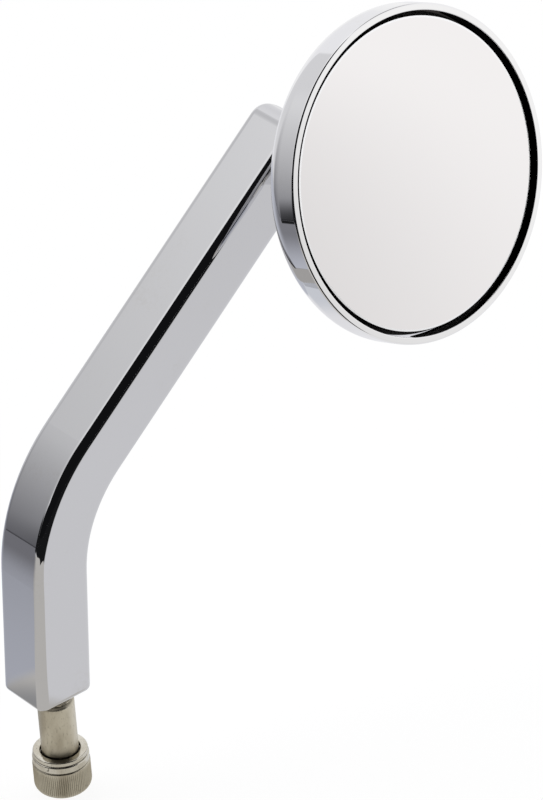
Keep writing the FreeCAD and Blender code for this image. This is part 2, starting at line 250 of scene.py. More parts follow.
class EffectShelf:
    """Builds each shared effect once and hands out its node group."""

    def __init__(self) -> None:
        """Start with an empty shelf."""
        self.made: Dict[Effect, bpy.types.NodeTree] = {}

    def group(self, effect: Effect) -> bpy.types.NodeTree:
        """Look an effect up, and build it at its first use.

        Args:
            effect: the effect.

        Returns:
            Its node group.
        """
        if effect not in self.made:
            builder = getattr(self, "build_" + effect.value)
            self.made[effect] = builder(effect.value)
        return self.made[effect]

    def start(self, name: str, inputs: Sequence[Tuple[str, str, float]],
              outputs: Sequence[str]) -> Tuple[NodeBench, bpy.types.Node, bpy.types.Node]:
        """Open a node group.

        Args:
            name: the group's name.
            inputs: name, socket type and default of each input after Vector.
            outputs: names of the value outputs.

        Returns:
            The bench, the group's input node and its output node.
        """
        tree = bpy.data.node_groups.new(name, "ShaderNodeTree")
        tree.interface.new_socket("Vector", in_out="INPUT", socket_type="NodeSocketVector")
        for label, kind, default in inputs:
            socket = tree.interface.new_socket(label, in_out="INPUT", socket_type=kind)
            socket.default_value = default
        for label in outputs:
            tree.interface.new_socket(label, in_out="OUTPUT", socket_type="NodeSocketFloat")
        bench = NodeBench(tree)
        return bench, bench.add("NodeGroupInput"), bench.add("NodeGroupOutput")

    def build_polish_waves(self, name: str) -> bpy.types.NodeTree:
        """Slow waves of a buffed face, and a haze of wiping marks.

        Height is a soft noise. Haze is the product of a broad and a fine noise,
        stepped so that most of the face stays clear.

        Args:
            name: the group's name.

        Returns:
            The group.
        """
        bench, source, result = self.start(name, [("Scale", "NodeSocketFloat", 90.0)], ["Height", "Haze"])
        vector = source.outputs["Vector"]
        scale = source.outputs["Scale"]
        bench.feed(bench.noise(vector, scale, 1.0), result.inputs["Height"])
        broad = bench.ramp(bench.noise(vector, bench.math("MULTIPLY", scale, 0.7), 3.0), 0.5, 0.75)
        fine = bench.ramp(bench.noise(vector, bench.math("MULTIPLY", scale, 12.0), 2.0), 0.35, 0.75)
        bench.feed(bench.math("MULTIPLY", broad, fine), result.inputs["Haze"])
        return bench.tree

    def build_hairlines(self, name: str) -> bpy.types.NodeTree:
        """Fine scratches along one axis: noise on a vector that is stretched along Z.

        Args:
            name: the group's name.

        Returns:
            The group.
        """
        inputs = [("Scale", "NodeSocketFloat", 900.0), ("Stretch", "NodeSocketFloat", 0.06)]
        bench, source, result = self.start(name, inputs, ["Height", "Mask"])
        stretch = bench.add("ShaderNodeCombineXYZ", {"X": 1.0, "Y": 1.0, "Z": source.outputs["Stretch"]})
        drawn = bench.add("ShaderNodeVectorMath", {0: source.outputs["Vector"], 1: stretch.outputs[0]},
                          operation="MULTIPLY")
        lines = bench.noise(drawn.outputs[0], source.outputs["Scale"], 3.0)
        bench.feed(lines, result.inputs["Height"])
        bench.feed(bench.ramp(lines, 0.56, 0.74), result.inputs["Mask"])
        return bench.tree

    def build_plating_specks(self, name: str) -> bpy.types.NodeTree:
        """Small pits and stains: the cores of a cell pattern, thinned out by a broad noise.

        Args:
            name: the group's name.

        Returns:
            The group.
        """
        inputs = [("Scale", "NodeSocketFloat", 900.0), ("Spread", "NodeSocketFloat", 0.5)]
        bench, source, result = self.start(name, inputs, ["Mask", "Stain"])
        vector = source.outputs["Vector"]
        scale = source.outputs["Scale"]
        cells = bench.add("ShaderNodeTexVoronoi", {"Vector": vector, "Scale": scale})
        core = bench.ramp(cells.outputs["Distance"], 0.34, 0.12)
        patches = bench.noise(vector, bench.math("MULTIPLY", scale, 0.35), 3.0)
        spread = bench.math("SUBTRACT", patches, source.outputs["Spread"])
        bench.feed(bench.math("MULTIPLY", core, bench.ramp(spread, 0.0, 0.12)), result.inputs["Mask"])
        bench.feed(bench.noise(vector, bench.math("MULTIPLY", scale, 0.12), 5.0), result.inputs["Stain"])
        return bench.tree

    def build_turned_rings(self, name: str) -> bpy.types.NodeTree:
        """Tool marks of turning: noise along the radius and the height, the same all round the Z axis.

        Args:
            name: the group's name.

        Returns:
            The group.
        """
        bench, source, result = self.start(name, [("Scale", "NodeSocketFloat", 2500.0)], ["Height", "Mask"])
        radius, _, height = bench.round_axis(source.outputs["Vector"])
        section = bench.add("ShaderNodeCombineXYZ", {"X": radius, "Y": height})
        rings = bench.noise(section.outputs[0], source.outputs["Scale"], 2.0)
        bench.feed(rings, result.inputs["Height"])
        bench.feed(bench.ramp(rings, 0.4, 0.65), result.inputs["Mask"])
        return bench.tree


SHELF = EffectShelf()


@dataclass(frozen=True)
class Axis:
    """The own frame of a turned piece: a point on its axis and its Z direction."""

    place: Point = (0.0, 0.0, 0.0)
    direction: Point = (0.0, 0.0, 1.0)

    def matrix(self) -> Matrix:
        """Work out the frame's rotation.

        Returns:
            The matrix whose columns are the piece's level X, its Y and its Z direction.
        """
        z_axis = Vector(self.direction).normalized()
        x_axis = Vector((0.0, 0.0, 1.0)).cross(z_axis)
        if x_axis.length < 1e-6:
            return Matrix.Identity(3)
        x_axis.normalize()
        return Matrix((x_axis, z_axis.cross(x_axis), z_axis)).transposed()

    def vector(self, bench: NodeBench) -> Socket:
        """Turn and centre Object coordinates into this frame.

        Args:
            bench: the material's nodes.

        Returns:
            The coordinates.
        """
        coordinates = bench.add("ShaderNodeTexCoord")
        inputs = {"Vector": coordinates.outputs["Object"], "Location": self.place,
                  "Rotation": self.matrix().to_euler()}
        return bench.add("ShaderNodeMapping", inputs, vector_type="TEXTURE").outputs[0]


@dataclass(frozen=True)
class Finish(ABC):
    """What all finishes share: a name and the frame that their pattern is laid in."""

    name: str
    axis: Axis = Axis()

    def material(self) -> bpy.types.Material:
        """Make the finish.

        Returns:
            A new material.
        """
        made, bench = empty_material(self.name)
        shader = bench.add("ShaderNodeBsdfPrincipled")
        bench.put_out(shader.outputs["BSDF"])
        self.paint(bench, shader, self.axis.vector(bench))
        return made

    @abstractmethod
    def paint(self, bench: NodeBench, shader: bpy.types.Node, vector: Socket) -> None:
        """Feed the shader.

        Args:
            bench: the material's nodes.
            shader: its Principled BSDF.
            vector: the piece's own coordinates.
        """

    def effect(self, bench: NodeBench, effect: Effect, vector: Socket, **values: float) -> bpy.types.Node:
        """Place a shared effect.

        Args:
            bench: the material's nodes.
            effect: the effect.
            vector: the coordinates that it is laid in.
            values: its other inputs, by their names in small letters.

        Returns:
            The group's node.
        """
        node = bench.add("ShaderNodeGroup", node_tree=SHELF.group(effect))
        bench.feed(vector, node.inputs["Vector"])
        for label, value in values.items():
            bench.feed(value, node.inputs[label.title()])
        return node

    def bump(self, bench: NodeBench, shader: bpy.types.Node, height: Socket, depth: float) -> None:
        """Raise the surface by a height from 0 to 1 times a depth in metres."""
        node = bench.add("ShaderNodeBump", {"Height": height, "Distance": depth, "Strength": 1.0})
        bench.feed(node.outputs["Normal"], shader.inputs["Normal"])


@dataclass(frozen=True)
class ChromePlate(Finish):
    """Bright chrome on a buffed face, with slow polishing waves and faint wiping marks."""

    colour: Colour = (0.62, 0.62, 0.635)
    hazed: Colour = (0.585, 0.58, 0.58)
    clear_roughness: float = 0.02
    hazed_roughness: float = 0.07
    wave_scale: float = 80.0
    wave_depth: float = 0.012 * MM

    def paint(self, bench: NodeBench, shader: bpy.types.Node, vector: Socket) -> None:
        """Chrome colour and gloss that dull a little where it was wiped.

        Args:
            bench: the material's nodes.
            shader: its Principled BSDF.
            vector: the piece's own coordinates.
        """
        polish = self.effect(bench, Effect.POLISH, vector, scale=self.wave_scale)
        haze = polish.outputs["Haze"]
        colour = self.plate_colour(bench, vector, bench.mix(haze, rgba(self.colour), rgba(self.hazed)))
        bench.feed(colour, shader.inputs["Base Color"])
        shader.inputs["Metallic"].default_value = 1.0
        roughness = bench.ramp(haze, 0.0, 1.0, self.clear_roughness, self.hazed_roughness)
        bench.feed(roughness, shader.inputs["Roughness"])
        self.bump(bench, shader, polish.outputs["Height"], self.wave_depth)

    def plate_colour(self, bench: NodeBench, vector: Socket, colour: Socket) -> Socket:
        """The plate's colour, for finishes that change it in places."""
        return colour


@dataclass(frozen=True)
class ChromeCup(ChromePlate):
    """Chrome of the mirror's cup, with the rim's face cut brighter and the rim's inner side coloured near
    black.
    """

    colour: Colour = (0.79, 0.79, 0.805)
    hazed: Colour = (0.75, 0.745, 0.745)
    rim_colour: Colour = (0.88, 0.875, 0.875)
    rim_height: float = 0.0
    rim_depth: Span = (0.3 * MM, 0.15 * MM)
    rim_inner: float = 0.0
    inner_dark: Colour = (0.06, 0.055, 0.053)
    inner_dark_edge: Span = (0.09 * MM, 0.03 * MM)
    inner_dark_end: Span = (-36.0 * MM, -31.0 * MM)
    inner_dark_depth: Span = (8.0 * MM, 6.0 * MM)

    def plate_colour(self, bench: NodeBench, vector: Socket, colour: Socket) -> Socket:
        """Turn the chrome to the brighter cut at the rim, and near black inside the rim except at the bottom.

        Args:
            bench: the material's nodes.
            vector: the cup's own coordinates.
            colour: the chrome's colour.

        Returns:
            The cup's colour.
        """
        radius, upwards, height = bench.round_axis(vector)
        # The rim's inner side is coloured near black, except towards the bottom.
        inside = bench.ramp(radius, *(self.rim_inner + step for step in self.inner_dark_edge))
        front = bench.ramp(height, *(self.rim_height - step for step in self.inner_dark_depth))
        darkened = bench.math("MULTIPLY", inside, bench.ramp(upwards, *self.inner_dark_end))
        darkened = bench.math("MULTIPLY", darkened, front)
        rim = bench.ramp(height, *(self.rim_height - step for step in self.rim_depth))
        return bench.mix(rim, bench.mix(darkened, colour, rgba(self.inner_dark)), rgba(self.rim_colour))


@dataclass(frozen=True)
class NickelPlate(Finish):
    """Warm grey nickel on steel: drawn lines, dark pits, stains, and painted shade in the recesses."""

    colour: Colour = (0.62, 0.578, 0.47)
    stained: Colour = (0.485, 0.438, 0.342)
    pit: Colour = (0.06, 0.05, 0.035)
    painted_shade: Colour = (0.035, 0.03, 0.022)
    roughness: float = 0.33
    stain_step: Span = (0.35, 0.65)
    stain_roughness_step: Span = (0.3, 0.7)
    stain_roughness: float = 0.15
    line_scale: float = 2600.0
    line_stretch: float = 0.35
    line_depth: float = 0.02 * MM
    line_stain: float = 0.30
    speck_spread: float = 0.60
    speck_scale: float = 1700.0
    speck_draw: Point = (1.0, 1.0, 0.4)
    recess_layer: ClassVar[str] = "recess"

    def paint(self, bench: NodeBench, shader: bpy.types.Node, vector: Socket) -> None:
        """Nickel colour, darkened by stains, pits and painted shade in the recesses, over drawn lines.

        Args:
            bench: the material's nodes.
            shader: its Principled BSDF.
            vector: the piece's own coordinates.
        """
        lines = self.effect(bench, Effect.HAIRLINES, vector, scale=self.line_scale, stretch=self.line_stretch)
        drawn = bench.add("ShaderNodeVectorMath", {0: vector, 1: self.speck_draw}, operation="MULTIPLY")
        specks = self.effect(bench, Effect.SPECKS, drawn.outputs[0], scale=self.speck_scale,
                             spread=self.speck_spread)
        recess = bench.add("ShaderNodeAttribute", attribute_name=self.recess_layer).outputs["Fac"]
        stain = specks.outputs["Stain"]
        line_share = bench.math("MULTIPLY", lines.outputs["Mask"], self.line_stain)
        colour = bench.mix(bench.ramp(stain, *self.stain_step), rgba(self.colour), rgba(self.stained))
        colour = bench.mix(line_share, colour, rgba(self.pit))
        colour = bench.mix(specks.outputs["Mask"], colour, rgba(self.pit))
        # Painted shade: the recess value darkens the nickel to near black in the grooves, under the washers
        # and where parts meet.
        colour = bench.mix(recess, colour, rgba(self.painted_shade))
        bench.feed(colour, shader.inputs["Base Color"])
        shader.inputs["Metallic"].default_value = 1.0
        stained_roughness = self.roughness + self.stain_roughness
        roughness = bench.ramp(stain, *self.stain_roughness_step, self.roughness, stained_roughness)
        bench.feed(roughness, shader.inputs["Roughness"])
        self.bump(bench, shader, lines.outputs["Height"], self.line_depth)


@dataclass(frozen=True)
class SilveredGlass(Finish):
    """Mirror glass: silver face, ground bevel whose whiter colour is partly a painted highlight, dark edge
    with smears of adhesive.
    """

    silver: Colour = (0.89, 0.868, 0.866)
    bevel: Colour = (0.98, 0.98, 0.98)
    edge: Colour = (0.012, 0.011, 0.011)
    smear: Colour = (0.42, 0.33, 0.26)
    radius: float = 36.95 * MM
    bevel_width: float = 0.45 * MM
    bevel_depth: float = 0.06 * MM
    front: float = 30.05 * MM
    bevel_step: float = 0.012 * MM
    edge_step: Span = (0.0024 * MM, 0.012 * MM)
    smear_scale: float = 160.0
    smear_step: Span = (0.56, 0.68)
    wipe_scale: float = 30.0
    face_roughness: Span = (0.004, 0.02)
    ground_roughness: float = 0.2

    def paint(self, bench: NodeBench, shader: bpy.types.Node, vector: Socket) -> None:
        """Zones by radius and height in the head's frame: face, bevel, edge.

        Args:
            bench: the material's nodes.
            shader: its Principled BSDF.
            vector: the piece's own coordinates.
        """
        radius, _, height = bench.round_axis(vector)
        bevel_start = self.radius - self.bevel_width
        bevel = bench.ramp(radius, bevel_start - self.bevel_step, bevel_start + self.bevel_step)
        edge_top = self.front - self.bevel_depth
        edge = bench.ramp(height, *(edge_top - step for step in self.edge_step))
        smear = bench.ramp(bench.noise(vector, self.smear_scale, 4.0), *self.smear_step)
        edge_colour = bench.mix(smear, rgba(self.edge), rgba(self.smear))
        # Painted highlight: the bevel's ring is coloured whiter than the silver face, on top of its real tilt
        # and rougher grinding.
        colour = bench.mix(bevel, rgba(self.silver), rgba(self.bevel))
        bench.feed(bench.mix(edge, colour, edge_colour), shader.inputs["Base Color"])
        shader.inputs["Metallic"].default_value = 1.0
        haze = self.effect(bench, Effect.POLISH, vector, scale=self.wipe_scale).outputs["Haze"]
        face = bench.ramp(haze, 0.0, 1.0, *self.face_roughness)
        ground = bench.math("MULTIPLY", bench.math("MAXIMUM", bevel, edge), self.ground_roughness)
        bench.feed(bench.math("MAXIMUM", face, ground), shader.inputs["Roughness"])


@dataclass(frozen=True)
class TurnedMetal(Finish):
    """Bare or blackened metal from the lathe, with tool rings and small stains."""

    colour: Colour = (0.56, 0.55, 0.53)
    stained: Colour = (0.42, 0.41, 0.39)
    roughness: float = 0.22
    ring_scale: float = 2500.0
    ring_depth: float = 0.015 * MM
    ring_roughness: float = 0.12
    speck_scale: float = 900.0
    stain_step: Span = (0.38, 0.66)

    def paint(self, bench: NodeBench, shader: bpy.types.Node, vector: Socket) -> None:
        """Metal colour between clean and stained, over turned rings.

        Args:
            bench: the material's nodes.
            shader: its Principled BSDF.
            vector: the piece's own coordinates.
        """
        rings = self.effect(bench, Effect.RINGS, vector, scale=self.ring_scale)
        specks = self.effect(bench, Effect.SPECKS, vector, scale=self.speck_scale)
        stain = bench.ramp(specks.outputs["Stain"], *self.stain_step)
        bench.feed(bench.mix(stain, rgba(self.colour), rgba(self.stained)), shader.inputs["Base Color"])
        shader.inputs["Metallic"].default_value = 1.0
        cut_roughness = self.roughness + self.ring_roughness
        roughness = bench.ramp(rings.outputs["Mask"], 0.0, 1.0, self.roughness, cut_roughness)
        bench.feed(roughness, shader.inputs["Roughness"])
        self.bump(bench, shader, rings.outputs["Height"], self.ring_depth)


@dataclass(frozen=True)
class MouldedPlastic(Finish):
    """Plastic or foam with a fine grain: a smooth one for bearing seats, a coarse one for the pad."""

    colour: Colour = (0.72, 0.70, 0.64)
    shaded: Colour = (0.62, 0.60, 0.54)
    roughness: float = 0.45
    grain_scale: float = 1600.0
    grain_depth: float = 0.02 * MM
    grain_step: Span = (0.3, 0.7)
    grain_roughness: float = 0.15
    cloud_share: float = 0.15
    cloud_step: Span = (0.35, 0.65)

    def paint(self, bench: NodeBench, shader: bpy.types.Node, vector: Socket) -> None:
        """Two near colours and a grain that also roughens the surface.

        Args:
            bench: the material's nodes.
            shader: its Principled BSDF.
            vector: the piece's own coordinates.
        """
        grain = bench.noise(vector, self.grain_scale, 4.0)
        cloud = bench.ramp(bench.noise(vector, self.cloud_share * self.grain_scale, 3.0), *self.cloud_step)
        bench.feed(bench.mix(cloud, rgba(self.colour), rgba(self.shaded)), shader.inputs["Base Color"])
        high_roughness = self.roughness + self.grain_roughness
        roughness = bench.ramp(grain, *self.grain_step, self.roughness, high_roughness)
        bench.feed(roughness, shader.inputs["Roughness"])
        self.bump(bench, shader, grain, self.grain_depth)


def dress(node: str, finish: Finish) -> None:
    """Give a CAD node its finish and report it.

    Args:
        node: the node's name.
        finish: its finish.
    """
    slots = frame["nodes"][node].data.materials
    slots.clear()
    slots.append(finish.material())
    LOG.info("%s: %s", node, finish.name)


@dataclass
class Surface:
    """A grid of points with a recess value at each. Its columns close into loops.

    Attributes:
        points: array of rows, columns and x, y, z.
        recess: array of rows and columns, 0 in the open to 1 deep in a groove; the nickel finish darkens by
            it as painted shade.
        ends: how the first and the last row end.
    """

    points: np.ndarray
    recess: np.ndarray
    ends: Ends = Ends.FANS

    def mesh(self, name: str, sharp_angle: float) -> bpy.types.Mesh:
        """Closed mesh of the grid, with its faces outward.

        Quads run between neighbouring rows and columns, and the last column joins
        the first. The last row joins the first too, or each of them is closed by a
        fan that meets in the mean of its loop.

        Args:
            name: the mesh's name.
            sharp_angle: edges that turn more than this many degrees are drawn sharp.

        Returns:
            The mesh, with its recess values in a point attribute.
        """
        rows, columns = self.recess.shape
        vertices = self.points.reshape(-1, 3)
        values = self.recess.ravel()
        index = np.arange(rows * columns).reshape(rows, columns)
        right = np.roll(index, -1, axis=1)
        quads = np.stack([index, np.roll(index, -1, axis=0), np.roll(right, -1, axis=0), right], axis=-1)
        fans: List[List[int]] = []
        if self.ends is Ends.FANS:
            quads = quads[:-1]
            vertices = np.vstack([vertices, self.points[0].mean(axis=0), self.points[-1].mean(axis=0)])
            values = np.append(values, [self.recess[0].mean(), self.recess[-1].mean()])
            middle = np.full(columns, rows * columns)
            fans = np.stack([index[0], right[0], middle], axis=-1).tolist()
            fans += np.stack([right[-1], index[-1], middle + 1], axis=-1).tolist()
        mesh = bpy.data.meshes.new(name)
        mesh.from_pydata(vertices.tolist(), [], quads.reshape(-1, 4).tolist() + fans)
        mesh.polygons.foreach_set("use_smooth", np.ones(len(mesh.polygons), dtype=bool))
        mesh.set_sharp_from_angle(angle=math.radians(sharp_angle))
        layer = mesh.attributes.new(NickelPlate.recess_layer, "FLOAT", "POINT")
        layer.data.foreach_set("value", values)
        mesh.validate()
        mesh.update()
        return mesh


def add_piece(name: str, surface: Surface, sharp_angle: float, finish: Finish,
              node: str, body: Body) -> None:
    """Put a new piece in the scene in place of a CAD node.

    Args:
        name: the piece's name.
        surface: its points.
        sharp_angle: degrees above which its edges are sharp.
        finish: its finish.
        node: the CAD node that it stands for.
        body: the body that it rides on.
    """
    piece = bpy.data.objects.new(name, surface.mesh(name, sharp_angle))
    piece.data.materials.append(finish.material())
    bpy.context.scene.collection.objects.link(piece)
    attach(piece, body.value)
    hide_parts(node)
    LOG.info("%s: %s, %d faces, stands for %s", name, finish.name, len(piece.data.polygons), node)


@dataclass
class ProfileRun:
    """A stretch of a turned profile.

    Attributes:
        radius: radius at each row.
        height: height at each row.
        thread: how deep the thread is cut at each row, 0 to 1.
        knurl: how deep the knurl is cut at each row, 0 to 1.
        hexagon: how far each row has changed from a circle to the socket's hexagon, 0 to 1.
    """

    radius: np.ndarray
    height: np.ndarray
    thread: Cut = 0.0
    knurl: Cut = 0.0
    hexagon: Cut = 0.0

    def __post_init__(self) -> None:
        """Spread single values over all rows."""
        rows = len(self.radius)
        self.thread = np.broadcast_to(self.thread, rows)
        self.knurl = np.broadcast_to(self.knurl, rows)
        self.hexagon = np.broadcast_to(self.hexagon, rows)


def straight(start: Span, end: Span, rows: int, held: float = 0.0, **cuts: Cut) -> ProfileRun:
    """Straight stretch of a profile.

    Args:
        start: first radius and height.
        end: last radius and height.
        rows: number of rows, both ends counted.
        held: share of the stretch between each end and the row next to it, 0 for even steps.
        cuts: thread, knurl or hexagon, as one value or one for each row.

    Returns:
        Points start + share (end - start).
    """
    share = np.linspace(0.0, 1.0, rows)
    if held:
        share = np.concatenate([[0.0], np.linspace(held, 1.0 - held, rows - 2), [1.0]])
    return ProfileRun(start[0] + share * (end[0] - start[0]), start[1] + share * (end[1] - start[1]), **cuts)


def rounded(centre: Span, radius: float, first: float, last: float, rows: int, **cuts: Cut) -> ProfileRun:
    """Round stretch of a profile.

    Args:
        centre: radius and height of the round's centre.
        radius: the round's own radius.
        first: first angle in degrees, from outwards towards upwards.
        last: last angle.
        rows: number of rows, both ends counted.
        cuts: thread, knurl or hexagon, as one value or one for each row.

    Returns:
        Points centre + radius (cos angle, sin angle) at even angles.
    """
    angle = np.radians(np.linspace(first, last, rows))
    return ProfileRun(centre[0] + radius * np.cos(angle), centre[1] + radius * np.sin(angle), **cuts)


def joined(runs: Sequence[ProfileRun], name: str) -> np.ndarray:
    """One value of all the runs in a row, without the row that a run shares with the one before.

    Args:
        runs: the profile's stretches in order.
        name: radius, height, thread, knurl or hexagon.

    Returns:
        The values as a column.
    """
    later = [getattr(run, name)[1:] for run in runs[1:]]
    return np.concatenate([getattr(runs[0], name)] + later)[:, None]


def turned(axis: Axis, runs: Sequence[ProfileRun], columns: int, ends: Ends) -> Surface:
    """A profile turned about an axis.

    Point = place + radius (cos angle X + sin angle Y) + height Z, in the axis's own frame.

    Args:
        axis: the frame to turn in.
        runs: the profile's stretches, going down on the piece's outer side.
        columns: points round the turn.
        ends: how the profile's ends close.

    Returns:
        The turned surface, with no recess.
    """
    radius = joined(runs, "radius")
    height = joined(runs, "height")
    if ends is Ends.JOINED:
        radius = radius[:-1]
        height = height[:-1]
    angle = np.arange(columns)[None, :] * (2.0 * math.pi / columns)
    local = np.stack([radius * np.cos(angle), radius * np.sin(angle), height + 0.0 * angle], axis=-1)
    points = np.asarray(axis.place) + local @ np.asarray(axis.matrix()).T
    return Surface(points, np.zeros(points.shape[:2]), ends)


@dataclass
class MountScrew:
    """Socket screw with a knurled head, a plain shank and a thread that starts below the foot."""

    pitch: float = 1.5875 * MM
    thread_depth: float = 0.9 * MM
    thread_start: float = -3.3 * MM
    thread_runout: float = 1.3 * MM
    tip_chamfer: float = 1.0 * MM
    head_edge_radius: float = 2.2 * MM
    seat_edge_radius: float = 0.35 * MM
    neck_radius: float = 0.15 * MM
    rod_radius: float = 4.6 * MM
    head_height: float = 8.1 * MM
    stack_height: float = 3.3 * MM
    shade_band: float = 0.4 * MM
    # Painted shade: how dark the thread's and the knurl's grooves and the faces under the washers are
    # painted.
    thread_painted_shade: float = 0.75
    knurl_painted_shade: float = 0.5
    washer_painted_shade: float = 0.92
    knurl_count: int = 84
    knurl_depth: float = 0.17 * MM
    socket_flats: float = 7.94 * MM
    socket_depth: float = 4.6 * MM
    socket_chamfer: float = 0.3 * MM
    columns_per_knurl: int = 4
    rows_per_pitch: int = 10
    sharp_angle: float = 40.0

    def __post_init__(self) -> None:
        """Take the end heights and the head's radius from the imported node."""
        low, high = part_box("mount_screw")
        self.bottom = low.z
        self.tip = high.z
        self.seat = low.z + self.head_height
        self.head_radius = 0.5 * (high.x - low.x)

    def runs(self) -> List[ProfileRun]:
        """The profile from the tip down to the socket's floor, stretch by stretch.

        Returns:
            The stretches in order.
        """
        rod = self.rod_radius
        head = self.head_radius
        thread_top = self.tip - self.tip_chamfer
        thread_rows = int((thread_top - self.thread_start) / self.pitch * self.rows_per_pitch)
        runout_end = self.thread_start - self.thread_runout
        runout_rows = int(self.thread_runout / self.pitch * self.rows_per_pitch)
        stack_top = self.seat + self.stack_height
        edge = self.seat_edge_radius
        round_start = self.bottom + self.head_edge_radius
        side_top = self.seat - edge
        socket_reach = self.socket_flats / 2.0 / math.cos(math.radians(30))
        mouth = socket_reach + self.socket_chamfer
        chamfer_top = self.bottom + self.socket_chamfer
        socket_floor = self.bottom + self.socket_depth
        rise = np.clip(np.linspace(0.5, 3.0, 8), 0.0, 1.0)
        fade = np.clip(np.linspace(1.2, -0.3, 14), 0.0, 1.0)
        return [
            straight((0.4 * rod, self.tip), (rod - self.tip_chamfer, self.tip), 3),
            straight((rod - self.tip_chamfer, self.tip), (rod, thread_top), 5, thread=1.0),
            straight((rod, thread_top), (rod, self.thread_start), thread_rows, thread=1.0),
            straight((rod, self.thread_start), (rod, runout_end), runout_rows,
                     thread=np.linspace(1.0, 0.0, runout_rows)),
            straight((rod, runout_end), (rod, stack_top + self.shade_band), 12),
            straight((rod, stack_top + self.shade_band), (rod, stack_top - self.shade_band), 9),
            straight((rod, stack_top - self.shade_band), (rod, self.seat + self.neck_radius), 5),
            rounded((rod + self.neck_radius, self.seat + self.neck_radius), self.neck_radius, 180, 270, 4),
            straight((rod + self.neck_radius, self.seat), (head - edge, self.seat), 4),
            rounded((head - edge, side_top), edge, 90, 0, 6, knurl=np.linspace(0.0, 0.4, 6)),
            straight((head, side_top), (head, round_start), len(rise), knurl=rise),
            rounded((head - self.head_edge_radius, round_start), self.head_edge_radius, 0, -90, len(fade),
                    knurl=fade),
            straight((head - self.head_edge_radius, self.bottom), (mouth, self.bottom), 5),
            straight((mouth, self.bottom), (socket_reach, chamfer_top), 4, hexagon=np.linspace(0.0, 1.0, 4)),
            straight((socket_reach, chamfer_top), (socket_reach, socket_floor), 4, hexagon=1.0),
            straight((socket_reach, socket_floor), (0.2 * socket_reach, socket_floor), 4, hexagon=1.0),
        ]

    def surface(self) -> Surface:
        """The screw as a grid of height and angle.

        Radius = profile, less the thread, less the knurl, drawn in to the hexagon.
        The thread is a triangle wave of (height / pitch - angle / turn), the knurl a
        triangle wave of the angle, and the hexagon is flats / 2 / cos of the angle
        from the middle of the nearest flat.

        Returns:
            The points, with painted shade in the grooves and under the washers as recess.
        """
        runs = self.runs()
        radius, height, thread, knurl, hexagon = (
            joined(runs, name) for name in ("radius", "height", "thread", "knurl", "hexagon"))
        columns = self.knurl_count * self.columns_per_knurl
        angle = np.arange(columns)[None, :] * (2.0 * math.pi / columns)
        wave = np.abs(2.0 * np.mod(height / self.pitch - angle / (2.0 * math.pi), 1.0) - 1.0)
        groove = np.clip(1.25 * wave - 0.125, 0.0, 1.0)
        core = self.rod_radius - self.thread_depth * groove * thread
        cut = np.where(thread > 0.0, np.minimum(radius, core), radius)
        tooth = np.abs(2.0 * np.mod(angle * self.knurl_count / (2.0 * math.pi), 1.0) - 1.0)
        cut = cut - self.knurl_depth * tooth * knurl
        sixth = math.pi / 3.0
        to_flat = np.mod(angle, sixth) - 0.5 * sixth
        flat = 0.5 * self.socket_flats / np.cos(to_flat)
        reach = 0.5 * self.socket_flats / math.cos(0.5 * sixth)
        cut = cut * (1.0 + hexagon * (flat / reach - 1.0))
        points = np.stack([cut * np.cos(angle), cut * np.sin(angle), height + 0.0 * angle], axis=-1)
        # Painted shade: the shank darkens just above the washer stack and stays dark under it down to the
        # seat; the grooves darken with their depth.
        depth = (self.seat + self.stack_height + 0.3 * MM - height) / (0.5 * MM)
        inside = (height > self.seat - 0.01 * MM) & (radius < self.head_radius - self.seat_edge_radius)
        under_washers = np.where(inside, np.clip(depth, 0.0, 1.0), 0.0)
        shade = np.maximum(self.thread_painted_shade * groove * thread, self.knurl_painted_shade * tooth * knurl)
        recess = np.clip(np.maximum(shade, self.washer_painted_shade * under_washers), 0.0, 1.0)
        return Surface(points, recess)

    def build(self) -> None:
        """Make the screw and put it in place of its plain solid."""
        finish = NickelPlate("nickel_screw_finish")
        add_piece("mount_screw_detailed", self.surface(), self.sharp_angle, finish,
                  "mount_screw", Body.STEM)


